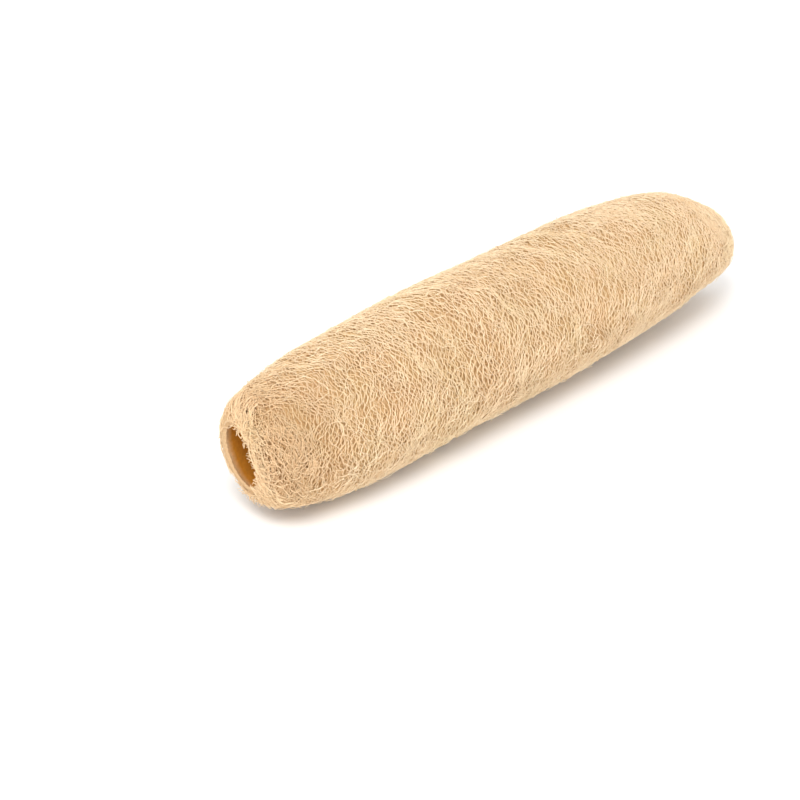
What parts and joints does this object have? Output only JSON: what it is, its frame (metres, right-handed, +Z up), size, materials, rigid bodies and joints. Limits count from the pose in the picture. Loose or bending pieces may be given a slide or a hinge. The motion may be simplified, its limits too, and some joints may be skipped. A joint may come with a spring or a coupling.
{
  "type": "natural loofah sponge",
  "caption": "Whole dried loofah gourd skeleton lying on its side: a long round-ended body of netted fibres, with a seed channel open at its trimmed end.",
  "frame": {"origin": "middle of the bounding box, on the surface that the gourd lies on", "axes": "+X along the gourd from its trimmed open end to its closed round tip, +Z up, +Y the side that the gourd bows towards"},
  "size_m": [0.4098, 0.094, 0.0901],
  "materials": {
    "loofah_fibre": "matt dry plant fibre, cream to tan"
  },
  "bodies": {
    "root": {"loofah": "loofah_fibre"}
  },
  "joints": []
}
